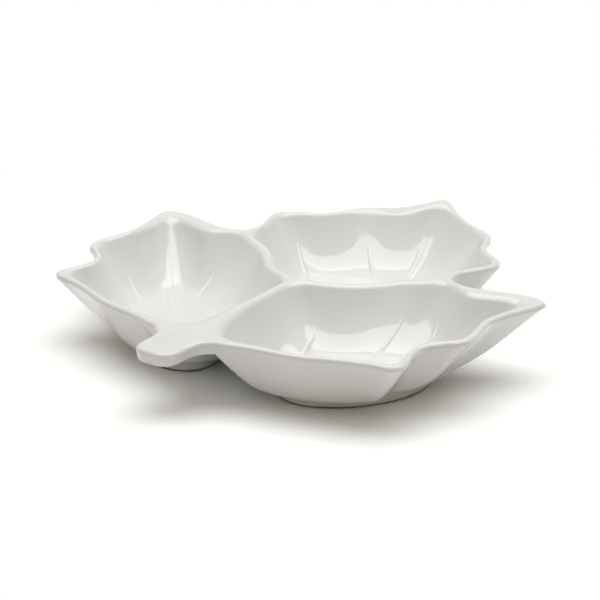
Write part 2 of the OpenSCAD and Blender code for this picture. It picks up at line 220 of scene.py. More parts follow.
def smooth_line(points):
    """Even points on a line through the given ones: each span is a cubic whose end slopes are the
    neighbouring chords weighed by distance, and the points are then spread evenly along it."""
    p = np.asarray(points, float)
    step = np.maximum(np.linalg.norm(np.diff(p[:, :2], axis=0), axis=1), LEAST_STEP)[:, None]
    chord = np.diff(p, axis=0) / step
    slope = np.vstack([chord[:1], np.zeros((len(p) - 2, p.shape[1])), chord[-1:]])
    slope[1:-1] = (chord[:-1] * step[1:] + chord[1:] * step[:-1]) / (step[1:] + step[:-1])
    t = (np.arange(SPAN_CUTS) / SPAN_CUTS)[None, :, None]
    a, b = p[:-1, None], p[1:, None]
    leave, arrive = (slope[:-1] * step)[:, None], (slope[1:] * step)[:, None]
    fine = (a * (1 + 2 * t) * (1 - t) ** 2 + b * t * t * (3 - 2 * t)
            + leave * t * (1 - t) ** 2 - arrive * t * t * (1 - t))
    fine = np.vstack([fine.reshape(-1, p.shape[1]), p[-1:]])
    run = np.concatenate([[0], np.cumsum(np.linalg.norm(np.diff(fine, axis=0), axis=1))])
    at = np.linspace(0, run[-1], max(int(round(run[-1] / POINT_GAP)), 2) + 1)
    return np.column_stack([np.interp(at, run, column) for column in fine.T])


def softened(values, width, ring=True):
    """Values along an edge averaged with their neighbours under a bell of the given width; a ring
    closes on itself, and an open row keeps its end values."""
    points = width / POINT_GAP
    reach = int(3 * points) + 1
    bell = np.exp(-0.5 * (np.arange(-reach, reach + 1) / points) ** 2)
    bell /= bell.sum()
    rows = values if values.ndim == 2 else values[:, None]
    padded = np.pad(rows, ((reach, reach), (0, 0)), mode="wrap" if ring else "edge")
    done = np.column_stack([np.convolve(column, bell, mode="valid") for column in padded.T])
    return done if values.ndim == 2 else done[:, 0]


def outward(before, after):
    """Direction out of the leaf where the rim runs from one point to another: the run turned by a
    quarter."""
    d = unit(np.asarray(after, float)[:2] - np.asarray(before, float)[:2])
    return np.array([d[1], -d[0]])


def ray_ways(line, middle):
    """Directions from a bowl's middle to its edge, lengthened where the edge runs aslant to them,
    so that the lip keeps its width."""
    ray = unit(line[:, :2] - middle)
    run = unit(np.diff(line[:, :2], axis=0))
    out = np.column_stack([run[:, 1], -run[:, 0]])
    back, front = np.vstack([out[:1], out]), np.vstack([out, out[-1:]])
    lean = np.minimum((back * ray).sum(1), (front * ray).sum(1))
    lean = softened(np.maximum(lean, LEAST_LEAN), SOFTENING, ring=False)
    return ray / lean[:, None]


def free_edge(line, middle, first_way, last_way):
    """Stretch of a free rim: points, ways to the lip's top, ways inwards, 1 for free, nearness to
    a notch. The ways turn to the notch's own at both ends, so that neighbouring pieces meet."""
    way = ray_ways(line, middle)
    near_first, near_last = (
        1 - ease(np.linalg.norm(line[:, :2] - line[end, :2], axis=1) / NOTCH_BLEND)[:, None]
        for end in (0, -1))
    top_way = mix(mix(way, first_way, near_first), last_way, near_last)
    near = np.maximum(near_first, near_last)[:, 0]
    return line, top_way, way, np.ones(len(line)), near


def joined_edge(line, middle):
    """Stretch of a crest that two pieces share, in the same five columns, with 0 for joined."""
    way = ray_ways(line, middle)
    return line, way, way, np.zeros(len(line)), np.ones(len(line))


def chained(*stretches):
    """One closed edge out of its stretches."""
    return [np.concatenate(column) for column in zip(*stretches)]


def part_of(stretch, first, last):
    """A stretch without some of its first or last points."""
    return tuple(column[first:len(column) - last] for column in stretch)


def oval_reach(oval, direction, over=0.0):
    """Radius of an oval in given directions, with both half axes longer by the same amount."""
    half_l, half_w = oval[1][0] * WIDEN + over, oval[1][1] * LENGTHEN + over
    turned = np.arctan2(direction[:, 1], direction[:, 0]) - np.radians(oval[2])
    return half_l * half_w / np.hypot(half_w * np.cos(turned), half_l * np.sin(turned))


def wall_rise(q, flare):
    """Height of a wall from floor, 0, to rim, 1: level at the floor, and at the rim as steep as
    flare times the mean slope."""
    return (3 - flare) * q ** 2 + (flare - 2) * q ** 3


def ring_rows(xy, z):
    """Rows of points out of their plan places and heights, as one array of point, row, x y z."""
    return np.concatenate([xy, z[..., None]], axis=-1)


def fold_share(direction):
    """How far the wall's foot is set back in given directions: from 0 to 1 just beyond the fold in
    the outer wall, and back to 0 towards the side tip."""
    angle = np.degrees(np.arctan2(direction[:, 1], direction[:, 0]))
    return ease((angle - FOLD_FROM) / FOLD_TURN) * (1 - ease((angle - FOLD_TO) / FOLD_FADE))


def stem_share(rim, is_free):
    """1 on the crests beside the stem and 0 elsewhere, easing from one to the other along the
    edge."""
    beside = ~is_free & (rim[:, 1] < spots(CROTCH[:2])[0, 1])
    return softened(beside.astype(float), ROOT_NEAR)


def tip_share(rim, is_free):
    """1 on the rim along the far side of a side tip and on the left of the leaf's tip, 0
    elsewhere, easing along the edge."""
    (side_x, side_y), (leaf_x, leaf_y) = spots(SIDE_STRETCH)[0], spots(LEAF_STRETCH)[0]
    far_side = (rim[:, 0] > side_x) & (rim[:, 1] > side_y)
    leaf_end = (rim[:, 0] > leaf_x) & (rim[:, 0] < 0) & (rim[:, 1] > leaf_y)
    return softened((is_free & (far_side | leaf_end)).astype(float), TIP_SHELF)


def hub_share(direction, middle):
    """1 in the direction from a bowl's middle to the hub, falling off to either side as a bell of
    the angle."""
    to_hub = unit(spots(HUB[:2]) - middle)[0]
    off = np.degrees(np.arccos(np.clip(direction @ to_hub, -1, 1)))
    return np.exp(-(off / HUB_ANGLE) ** 2)


def nearness(xy, place, reach):
    """1 at a drawn place and 0 far from it, as a bell whose width is the reach."""
    return np.exp(-((xy - spots(place)[0]) ** 2).sum(1) / reach ** 2)


def valley_line(line):
    """Inner edge rounded for the lower wall: by the usual bell, by a narrow one near the hub and
    by a wide one near the tips, eased into one another."""
    by_hub = nearness(line, HUB[:2], HUB_NEAR)[:, None]
    by_tip = np.maximum(nearness(line, SIDE_TIP, TIP_NEAR), nearness(line, LEAF_TIP, TIP_NEAR))
    rounded = mix(softened(line, VALLEY_SOFTENING), softened(line, HUB_SOFTENING), by_hub)
    return mix(rounded, softened(line, TIP_SOFTENING), by_tip[:, None])


def lip_end(edge, top, form):
    """Line where the lip's rounding ends inside: in from the lip's top by its shelf and down by
    its drop, softened along the edge. In a bowl both are larger beside the stem and at the tips,
    and the line is softer by the stem's root."""
    rim, _, in_way, free, _ = edge
    is_free, bowl = free > 0, form["bowl"]
    by_stem, by_tip = stem_share(rim, is_free) * bowl, tip_share(rim, is_free) * bowl
    shelf = mix(mix(np.where(is_free, *form["shelf"]), STEM_SHELF, by_stem), TIP_SHELF, by_tip)
    fall = mix(mix(form["drop"], STEM_FALL, by_stem), TIP_FALL, by_tip)
    line = np.column_stack([top - in_way * softened(shelf, SOFTENING)[:, None], rim[:, 2] - fall])
    by_root = nearness(rim[:, :2], STEM_ROOT[:2], ROOT_NEAR)[:, None] * bowl
    line = mix(softened(line, form["softening"]), softened(line, ROOT_SOFTENING), by_root)
    return line[:, :2], line[:, 2]


def held_in(line, middle):
    """Line whose corners are drawn in to a rounder copy of it: each point moves towards the middle
    by half the sum of how far it stands out and that distance's hypotenuse with the ease, less
    the ease, which is near nothing for a point that lies inside."""
    outwards = unit(line - middle)
    past = ((line - softened(line, CORNER_SOFTENING)) * outwards).sum(1)
    return line - outwards * ((past + np.hypot(past, CLIP_EASE) - CLIP_EASE) / 2)[:, None]


def inside_rows(middle, floor_edge, soft_xy, in_xy, in_z, form):
    """Floor as rings at shares of the ray from the middle to its edge, sagging as one less the
    share squared, squared; then the inner wall by wall_rise, led first to the softened line and
    higher up to the lip's own."""
    floor_z = form["floor_z"]
    share, q = FLOOR_SHARES, WALL_SHARES
    sag = np.broadcast_to(floor_z - form["sag"] * (1 - share ** 2) ** 2, (len(in_z), len(share)))
    floor = ring_rows(mix(middle, floor_edge[:, None], share[None, :, None]), sag)
    led_to = mix(soft_xy[:, None], in_xy[:, None], ease(q)[None, :, None])
    wall = ring_rows(mix(floor_edge[:, None], led_to, q[None, :, None]),
                     mix(floor_z, in_z[:, None], wall_rise(q, form["flare"])[None]))
    return floor, wall


def lip_curve(floor_edge, in_xy, in_z, top, rim_z, form):
    """Lip from its inner edge to its top: a parabola that leaves along the wall's slope, met by
    the level of the top, and arrives level."""
    run = np.linalg.norm(in_xy - floor_edge, axis=1)
    steep = form["flare"] * (in_z - form["floor_z"]) / np.maximum(run, LEAST_RUN)
    across = np.maximum(np.linalg.norm(top - in_xy, axis=1), LEAST_RUN)
    bend = np.minimum((rim_z - in_z) / np.maximum(steep, LEAST_SLOPE) / across, MOST_BEND)
    start = np.column_stack([in_xy, in_z])[:, None]
    end = np.column_stack([top, rim_z])[:, None]
    corner = np.column_stack([mix(in_xy, top, bend[:, None]), rim_z])[:, None]
    t = (np.arange(1, LIP_ROWS + 1) / LIP_ROWS)[None, :, None]
    return start * (1 - t) ** 2 + corner * 2 * t * (1 - t) + end * t ** 2


def bead_and_skirt(edge, top):
    """Outer half of the lip: a quarter circle on a free rim, straight down in a joint; then the
    upright edge below it, which is as deep as the joint at a notch."""
    rim, top_way, _, free, near = edge
    is_free = free > 0
    share = np.arange(1, BEAD_ROWS + 1)[None] / BEAD_ROWS
    turn = np.radians(90) * share
    bead_h = np.where(is_free, LIP_R, WEB_H - SKIRT_H)
    lip_way = (top_way * (LIP_R * free)[:, None])[:, None]
    fall = np.where(is_free[:, None], LIP_R * (1 - np.cos(turn)), bead_h[:, None] * share)
    bead = ring_rows(top[:, None] + lip_way * np.sin(turn)[..., None], rim[:, 2:3] - fall)
    lower = np.arange(1, SKIRT_ROWS + 1)[None] / SKIRT_ROWS
    skirt_h = np.where(is_free, mix(SKIRT_H, WEB_H - LIP_R, near), SKIRT_H)
    skirt_in = top_way * (free * mix(SKIRT_IN, NOTCH_SKIRT_IN, near))[:, None]
    skirt = ring_rows(rim[:, None, :2] - skirt_in[:, None] * lower[..., None],
                      (rim[:, 2] - bead_h)[:, None] - skirt_h[:, None] * lower)
    return bead, skirt


def outside_rows(outer_top, base_middle, base_edge, under_z):
    """Outer wall by wall_rise from the skirt down to the underside, led to a softened line lower
    down; then the underside as rings at shares of the ray to its middle."""
    down, inward = OUTER_SHARES, UNDER_SHARES
    soft_top = softened(outer_top[:, :2], FOLD_SOFTENING)
    led_to = mix(soft_top[:, None], outer_top[:, None, :2], ease(down)[None, :, None])
    outer = ring_rows(mix(base_edge[:, None], led_to, down[None, :, None]),
                      mix(under_z, outer_top[:, 2:3], wall_rise(down, OUT_FLARE)[None]))
    under = ring_rows(mix(base_middle, base_edge[:, None], inward[None, :, None]),
                      np.full((len(outer_top), len(inward)), under_z))
    return outer, under


def shell_rows(edge, oval, base, form, fold_in=0.0):
    """Skin of a bowl or the stem as a grid of profiles: each runs from the floor's middle along a
    ray to the wall, up the wall, over the lip, down round the bead or the joint, down the outer
    wall and to the middle of the underside."""
    rim, top_way, _, free, _ = edge
    middle, base_middle = spots(oval[0])[0], spots(base[0])[0]
    top = rim[:, :2] - top_way * (LIP_R * free)[:, None]
    in_xy, in_z = lip_end(edge, top, form)
    in_xy = held_in(in_xy, middle)
    soft_xy = valley_line(in_xy) if form["bowl"] else softened(in_xy, SOFTENING)
    in_way_out = unit(soft_xy - middle)
    to_hub = HUB_FLOOR * hub_share(in_way_out, middle) * form["bowl"]
    floor_edge = middle + in_way_out * (oval_reach(oval, in_way_out) + to_hub)[:, None]
    out_way_out = unit(rim[:, :2] - base_middle)
    base_reach = oval_reach(base, out_way_out, FLAT_OVER) - fold_in * fold_share(out_way_out)
    base_edge = base_middle + out_way_out * base_reach[:, None]

    floor, wall = inside_rows(middle, floor_edge, soft_xy, in_xy, in_z, form)
    lip = lip_curve(floor_edge, in_xy, in_z, top, rim[:, 2], form)
    bead, skirt = bead_and_skirt(edge, top)
    outer, under = outside_rows(skirt[:, -1], base_middle, base_edge, form["under_z"])
    rows = np.concatenate([floor, wall, lip, bead, skirt, outer, under], axis=1)
    poles = np.array([[*middle, form["floor_z"] - form["sag"]], [*base_middle, form["under_z"]]])
    return {"rows": rows, "poles": poles, "free": free}


def fine_vein(line, peak=FINE_H):
    """A fine vein along a line from foot to head, with the widths that all of them share."""
    return (*line, FINE_FOOT_W, FINE_HEAD_W, peak)


def vein_relief(xy, veins):
    """Height of the veins over a place: along each vein a swell that is full at a third of its
    length and fine at its ends, across it a rounded ridge with a shallow groove of pooled glaze at
    either side; a broad vein is flat across, with a fine groove in its middle.
    Also gives where the ridge thins the glaze and where the groove pools it."""
    height = np.zeros(xy.shape[:-1])
    ridge_share, groove_share = np.zeros_like(height), np.zeros_like(height)
    for foot, head, foot_w, head_w, peak in veins:
        a, b = spots(foot)[0], spots(head)[0]
        along = unit((b - a)[None])[0]
        t = (xy - a) @ along / np.linalg.norm(b - a)
        off = np.abs((xy - a) @ np.array([-along[1], along[0]]))
        body = np.where(t < VEIN_PEAK, ease((t + VEIN_LEAD) / (VEIN_PEAK + VEIN_LEAD)),
                        1 - VEIN_TAPER * ease((t - VEIN_PEAK) / (VEIN_END - VEIN_PEAK)))
        body = body * ease((t + VEIN_LEAD) / VEIN_LEAD) * (1 - ease((t - FADE_FROM) / FADE_LENGTH))
        half_w = mix(foot_w, head_w, np.clip(t, 0, 1))
        if max(foot_w, head_w) > BROAD_VEIN:
            u = off / half_w
            ridge = np.clip(1 - u ** BAND_FLATNESS, 0, 1) ** BAND_SHOULDER * body
            groove = np.exp(-(off / BAND_GROOVE_W) ** 2) * body * (BAND_GROOVE / VEIN_GROOVE)
        else:
            u = off / (half_w * mix(THIN_END, 1, body))
            ridge = np.clip(1 - u * u, 0, 1) ** RIDGE_SHOULDER * body
            groove = np.exp(-((u - GROOVE_AT) / GROOVE_W) ** 2) * body
        height += peak * ridge - VEIN_GROOVE * groove
        ridge_share = np.maximum(ridge_share, ridge)
        groove_share = np.maximum(groove_share, np.minimum(groove, 1))
    return height, ridge_share, groove_share


def hand_wave(xy):
    """Slow unevenness of a hand finished wall: slow waves across the plan added together."""
    x, y = xy[..., 0], xy[..., 1]
    return sum(high * np.sin(by_x * x + by_y * y + start) for high, by_x, by_y, start in HAND_WAVES)


def dressed(shell, veins=(), waved=True):
    """Adds the hand finished unevenness and the veins to a shell's rows, and keeps where the glaze
    is thin, on lips and ridges, and where it pools, at the foot of the walls and beside veins."""
    rows = shell["rows"].copy()
    inner = np.arange(rows.shape[1]) < FIRST_LIP
    sway = np.sin(np.pi * UP_WALL ** SWAY_POWER) ** 2
    rows[..., 2] += hand_wave(rows[..., :2]) * sway * waved
    height, ridge, groove = vein_relief(rows[..., :2], veins)
    rows[..., 2] += height * inner
    lip_thin = np.zeros(rows.shape[1])
    lip_thin[FIRST_LIP:FIRST_SKIRT] = np.sin(np.linspace(0, np.pi, LIP_ROWS + BEAD_ROWS))
    wall_foot = np.exp(-((UP_WALL - POOL_AT) / POOL_W) ** 2) * inner
    return {**shell, "rows": rows, "thin": np.maximum(ridge * inner, lip_thin),
            "pool": np.maximum(groove * inner, wall_foot)}


def ring_faces(around, deep, closed=False):
    """Four-sided faces of a grid that closes on itself round its edge and, for a closed section,
    across its profile too."""
    i, k = np.meshgrid(np.arange(around), np.arange(deep - (not closed)), indexing="ij")
    here, after, below = i * deep, (i + 1) % around * deep, (k + 1) % deep
    return np.stack([here + k, here + below, after + below, after + k], axis=-1).reshape(-1, 4)


def skin_of(shell):
    """Points, four-sided faces and end fans of a shell, closed round its edge and at both
    middles, with the faces that lie inside a joint marked."""
    rows = shell["rows"]
    around, deep = rows.shape[:2]
    first = np.arange(around) * deep
    after = np.roll(first, -1)
    top, bottom = np.full(around, around * deep), np.full(around, around * deep + 1)
    fans = np.concatenate([np.stack([top, first, after], -1),
                           np.stack([bottom, after + deep - 1, first + deep - 1], -1)])
    joined = shell["free"] == 0
    seam = np.zeros((around, deep - 1), bool)
    seam[joined | np.roll(joined, -1), FIRST_BEAD - 1:FIRST_OUTER - 1] = True
    ends = np.zeros(2)
    return {"points": np.concatenate([rows.reshape(-1, 3), shell["poles"]]),
            "quads": ring_faces(around, deep), "fans": fans, "seam": seam.reshape(-1),
            "thin": np.concatenate([shell["thin"].reshape(-1), ends]),
            "pool": np.concatenate([shell["pool"].reshape(-1), ends])}


def foot_ring_skin(oval):
    """Foot ring as a closed section carried round an oval: an outer face that spreads in a small
    hollow curve under the bowl, a rounded standing edge, and an inner face that spreads alike."""
    hollow = np.linspace(0, np.pi / 2, FOOT_HOLLOW_ROWS)
    arc = np.linspace(0, np.pi / 2, FOOT_EDGE_ROWS)
    spread = np.column_stack([FOOT_SPREAD * (1 - np.sin(hollow)),
                              FOOT_H - FOOT_HOLLOW * (1 - np.cos(hollow))])
    edge = np.column_stack([-FOOT_EDGE * (1 - np.cos(arc)), FOOT_EDGE * (1 - np.sin(arc))])
    outer_half = np.vstack([spread, [[0, FOOT_WAIST]], edge])
    inner_half = outer_half[::-1] * np.array([-1.0, 1.0]) + np.array([-FOOT_W, 0])
    reach, height = np.vstack([outer_half, inner_half]).T
    a = np.linspace(0, 2 * np.pi, FOOT_AROUND, endpoint=False)[:, None]
    along = (oval[1][0] * WIDEN + reach) * np.cos(a)
    across = (oval[1][1] * LENGTHEN + reach) * np.sin(a)
    turn = np.radians(oval[2])
    middle = spots(oval[0])[0]
    x = middle[0] + along * np.cos(turn) - across * np.sin(turn)
    y = middle[1] + along * np.sin(turn) + across * np.cos(turn)
    points = np.stack([x, y, np.broadcast_to(height, x.shape)], axis=-1).reshape(-1, 3)
    quads = ring_faces(*x.shape, closed=True)
    blank = np.zeros(len(points))
    return {"points": points, "quads": quads, "fans": np.zeros((0, 3), int),
            "seam": np.zeros(len(quads), bool), "thin": blank, "pool": blank}


def mirror_image(skin):
    """The same skin on the other half of the leaf, with its faces wound the other way."""
    return {**skin, "points": skin["points"] * FLIP_X, "quads": skin["quads"][:, ::-1],
            "fans": skin["fans"][:, ::-1]}


def shared_normals(skins):
    """Normals of several skins as if they were one: points at the same place add up the normals of
    the faces of all skins round them, weighed by area; faces inside a joint count for nothing."""
    points = np.concatenate([s["points"] for s in skins])
    start = np.cumsum([0] + [len(s["points"]) for s in skins])
    steps = np.round(points * WELD_STEPS).astype(np.int64)
    place = np.unique(steps, axis=0, return_inverse=True)[1].reshape(-1)
    total = np.zeros((place.max() + 1, 3))
    for s, first in zip(skins, start):
        p = s["points"]
        corners = p[s["quads"]]
        normal = np.cross(corners[:, 2] - corners[:, 0], corners[:, 3] - corners[:, 1])
        normal[s["seam"]] = 0
        np.add.at(total, place[first + s["quads"]].reshape(-1), np.repeat(normal, 4, axis=0))
        corners = p[s["fans"]]
        normal = np.cross(corners[:, 1] - corners[:, 0], corners[:, 2] - corners[:, 0])
        np.add.at(total, place[first + s["fans"]].reshape(-1), np.repeat(normal, 3, axis=0))
    normals = unit(total)[place]
    return [normals[a:b] for a, b in zip(start, start[1:])]


def mesh_piece(name, skin, normals, material):
    """Writes a skin into a mesh object at the origin, in metres, smooth, with its glaze columns."""
    mesh = bpy.data.meshes.new(name)
    quads, fans = skin["quads"], skin["fans"]
    corners = np.concatenate([quads.ravel(), fans.ravel()])
    starts = np.concatenate([np.arange(len(quads)) * 4, quads.size + np.arange(len(fans)) * 3])
    mesh.vertices.add(len(skin["points"]))
    mesh.vertices.foreach_set("co", (skin["points"] * MM).astype(np.float32).ravel())
    mesh.loops.add(len(corners))
    mesh.loops.foreach_set("vertex_index", corners.astype(np.int32))
    mesh.polygons.add(len(starts))
    mesh.polygons.foreach_set("loop_start", starts.astype(np.int32))
    mesh.polygons.foreach_set("use_smooth", np.ones(len(starts), bool))
    mesh.update(calc_edges=True)
    for column in ("thin", "pool"):
        layer = mesh.attributes.new("glaze_" + column, "FLOAT", "POINT")
        layer.data.foreach_set("value", skin[column].astype(np.float32))
    mesh.normals_split_custom_set_from_vertices(normals.tolist())
    mesh.materials.append(material)
    piece = bpy.data.objects.new(name, mesh)
    bpy.context.scene.collection.objects.link(piece)
    return piece


class Nodes:
    """Short way to add shader nodes and link them."""

    def __init__(self, tree):
        self.tree = tree
        tree.nodes.clear()

    def add(self, kind, inputs=None, **settings):
        """A node with its settings, and each input linked or set."""
        node = self.tree.nodes.new(kind)
        for key, value in settings.items():
            setattr(node, key, value)
        for key, value in (inputs or {}).items():
            socket = node.inputs[key]
            if isinstance(value, bpy.types.NodeSocket):
                self.tree.links.new(value, socket)
            else:
                socket.default_value = value
        return node

    def noise(self, place, scale, detail, roughness=0.5):
        """Cloudy noise between 0 and 1."""
        return self.add("ShaderNodeTexNoise", {"Vector": place, "Scale": scale, "Detail": detail,
                                               "Roughness": roughness}).outputs["Fac"]

    def ranged(self, value, span=(0.0, 1.0), to=(0.0, 1.0), **settings):
        """A value carried from one span to another, held at the ends."""
        return self.add("ShaderNodeMapRange", {
            "Value": value, "From Min": span[0], "From Max": span[1], "To Min": to[0],
            "To Max": to[1]}, **settings).outputs["Result"]

    def math(self, operation, a, b):
        """Two numbers worked into one."""
        return self.add("ShaderNodeMath", {0: a, 1: b}, operation=operation).outputs[0]

    def blend(self, share, first, second):
        """One colour passing into another."""
        return self.add("ShaderNodeMixRGB", {"Fac": share, "Color1": first,
                                             "Color2": second}).outputs[0]

    def bump(self, height, strength, distance):
        """Surface slopes out of a height."""
        return self.add("ShaderNodeBump", {"Height": height, "Strength": strength,
                                           "Distance": distance}).outputs["Normal"]


def fresh_material(name):
    """New node material and its node helper."""
    material = bpy.data.materials.new(name)
    material.use_nodes = True
    return material, Nodes(material.node_tree)


GLAZE_WHITE = (0.795, 0.797, 0.788, 1)
GLAZE_CLOUD = (0.772, 0.774, 0.766, 1)
GLAZE_THIN = (0.79, 0.785, 0.764, 1)
GLAZE_POOL = (0.735, 0.742, 0.734, 1)
# Shares of the thin and the pooled tone at their fullest
THIN_TONE, POOL_TONE = 0.55, 0.5
# Noise in the glaze: grains a metre, detail and, where it isn't the usual one, roughness; then the
# span of it that is used, or the strength and height of a ripple
CLOUD_NOISE, CLOUD_SPAN = (24.0, 3.0, 0.55), (0.35, 0.7)
GLOSS_NOISE, GLOSS_SPAN = (55.0, 2.0), (0.3, 0.7)
RIPPLE_NOISE, RIPPLE_STRENGTH, RIPPLE_H = (110.0, 1.5), 0.01, 0.0006
GLAZE_ROUGHNESS, GLAZE_IOR = (0.055, 0.11), 1.52
COAT, COAT_ROUGHNESS, COAT_IOR = 0.25, 0.04, 1.5

# Bare clay of the foot, made darker than the clay's own tone to stand in for the contact shade at
# the standing edge: painted shade. The specks are the clay's grain.
CLAY_AND_CONTACT_SHADE = (0.22, 0.165, 0.115, 1)
CLAY_SPECK = (0.12, 0.085, 0.055, 1)
# Height over the table of the wandering line where the glaze ends, and how sharp it is, in metres
LINE_NOISE, LINE_H, LINE_BLUR = (70.0, 3.0), (0.0007, 0.0017), (-0.0002, 0.0003)
GRAIN_NOISE, SPECK_SPAN = (900.0, 4.0, 0.7), (0.5, 0.72)
GRAIN_STRENGTH, GRAIN_H = 0.25, 0.0002
# Roughness and coat of the foot, on bare clay and on glaze
FOOT_ROUGHNESS, FOOT_COAT = (0.8, 0.09), (0.0, 0.6)


def white_glaze():
    """Glossy white glaze: slow clouding of the white, a warmer tone where it runs thin over lips
    and ridges, a cooler one where it pools, roughness that wanders a little, and a faint ripple."""
    material, n = fresh_material("white_glaze")
    place = n.add("ShaderNodeTexCoord").outputs["Object"]
    thin = n.add("ShaderNodeAttribute", attribute_name="glaze_thin").outputs["Fac"]
    pool = n.add("ShaderNodeAttribute", attribute_name="glaze_pool").outputs["Fac"]
    cloud = n.ranged(n.noise(place, *CLOUD_NOISE), CLOUD_SPAN)
    white = n.blend(cloud, GLAZE_WHITE, GLAZE_CLOUD)
    over_ridges = n.blend(n.math("MULTIPLY", thin, THIN_TONE), white, GLAZE_THIN)
    colour = n.blend(n.math("MULTIPLY", pool, POOL_TONE), over_ridges, GLAZE_POOL)
    gloss = n.ranged(n.noise(place, *GLOSS_NOISE), GLOSS_SPAN, GLAZE_ROUGHNESS)
    ripple = n.bump(n.noise(place, *RIPPLE_NOISE), RIPPLE_STRENGTH, RIPPLE_H)
    shader = n.add("ShaderNodeBsdfPrincipled", {
        "Base Color": colour, "Roughness": gloss, "IOR": GLAZE_IOR, "Coat Weight": COAT,
        "Coat Roughness": COAT_ROUGHNESS, "Coat IOR": COAT_IOR, "Normal": ripple})
    n.add("ShaderNodeOutputMaterial", {"Surface": shader.outputs["BSDF"]})
    return material


def foot_clay_and_shade():
    """Foot ring: glaze wiped off in a wandering line above the table, bare speckled clay below, its
    tone darkened further as painted contact shade at the standing edge.
    """
    material, n = fresh_material("foot_glaze_over_clay_and_painted_shade")
    place = n.add("ShaderNodeTexCoord").outputs["Object"]
    height = n.add("ShaderNodeSeparateXYZ", {"Vector": place}).outputs["Z"]
    line = n.ranged(n.noise(place, *LINE_NOISE), to=LINE_H)
    glazed = n.ranged(n.math("SUBTRACT", height, line), LINE_BLUR)
    grain = n.noise(place, *GRAIN_NOISE)
    # Bare clay below the glaze line, darkened as painted contact shade
    clay = n.blend(n.ranged(grain, SPECK_SPAN), CLAY_AND_CONTACT_SHADE, CLAY_SPECK)
    shader = n.add("ShaderNodeBsdfPrincipled", {
        "Base Color": n.blend(glazed, clay, GLAZE_WHITE),
        "Roughness": n.ranged(glazed, to=FOOT_ROUGHNESS), "IOR": GLAZE_IOR,
        "Coat Weight": n.ranged(glazed, to=FOOT_COAT), "Coat Roughness": COAT_ROUGHNESS,
        "Normal": n.bump(grain, GRAIN_STRENGTH, GRAIN_H)})
    n.add("ShaderNodeOutputMaterial", {"Surface": shader.outputs["BSDF"]})
    return material


# Edges of the pieces, counter-clockwise from above
side_crest = smooth_line(rim_spots(SIDE_CREST))
stem_crest = smooth_line(rim_spots(STEM_CREST))
tip_crest = smooth_line(rim_spots(TIP_CREST))
side_rim = smooth_line(rim_spots(SIDE_RIM))
tip_rim = smooth_line(rim_spots(TIP_RIM))
tip_rim = np.vstack([tip_rim, (tip_rim * FLIP_X)[::-1][1:]])
stem_edge = smooth_line(rim_spots(STEM_EDGE))
stem_edge = np.vstack([(stem_edge * FLIP_X)[::-1][:-1], stem_edge])
root_way = outward(rim_spots(STEM_EDGE)[-2], rim_spots(SIDE_RIM)[1])
notch_way = outward(rim_spots(SIDE_RIM)[-2], rim_spots(TIP_RIM)[1])
left_root_way, left_notch_way = root_way * (-1, 1), notch_way * (-1, 1)
side_middle, tip_middle, stem_middle = (
    spots(oval[0])[0] for oval in (SIDE_FLOOR, TIP_FLOOR, STEM_CORE))

side_bowl_edge = chained(
    part_of(joined_edge(side_crest, side_middle), 0, 1),
    part_of(joined_edge(stem_crest, side_middle), 0, 1),
    free_edge(side_rim, side_middle, root_way, notch_way),
    part_of(joined_edge(tip_crest[::-1], side_middle), 1, 1))
tip_bowl_edge = chained(
    part_of(joined_edge(tip_crest, tip_middle), 0, 1),
    free_edge(tip_rim, tip_middle, notch_way, left_notch_way),
    part_of(joined_edge((tip_crest * FLIP_X)[::-1], tip_middle), 1, 1))
stem_outline = chained(
    part_of(joined_edge(stem_crest[::-1], stem_middle), 1, 0),
    part_of(joined_edge(stem_crest * FLIP_X, stem_middle), 1, 1),
    free_edge(stem_edge, stem_middle, left_root_way, root_way))
# The stem's upright edge has the full depth of a joint all the way round
stem_outline[4][:] = 1

# Heights and lip of a bowl and of the stem
bowl_form = {"bowl": True, "floor_z": FLOOR_H, "under_z": FOOT_H, "sag": FLOOR_SAG,
             "drop": LIP_DROP, "shelf": (LIP_IN, CREST_IN), "softening": LIP_SOFTENING,
             "flare": IN_FLARE}
stem_form = {"bowl": False, "floor_z": STEM_H, "under_z": STEM_H - WEB_H, "sag": -STEM_CROWN,
             "drop": 0.0, "shelf": (STEM_IN, STEM_IN), "softening": SOFTENING, "flare": 0.0}

# The left bowl is the right one's mirror image, with two of its veins fainter
outer_veins = [fine_vein(NOTCH_VEIN), fine_vein(OUTER_VEIN)]
right_veins = [SIDE_MIDRIB, fine_vein(HUB_VEIN), fine_vein(CREST_VEIN), *outer_veins]
left_veins = [SIDE_MIDRIB, fine_vein(HUB_VEIN, FAINT_HUB_H), fine_vein(CREST_VEIN, FAINT_CREST_H),
              *outer_veins]
tip_veins = [TIP_MIDRIB] + [fine_vein([(side * x, y) for x, y in line])
                            for line in (TIP_UPPER_VEIN, TIP_LOWER_VEIN) for side in (1, -1)]

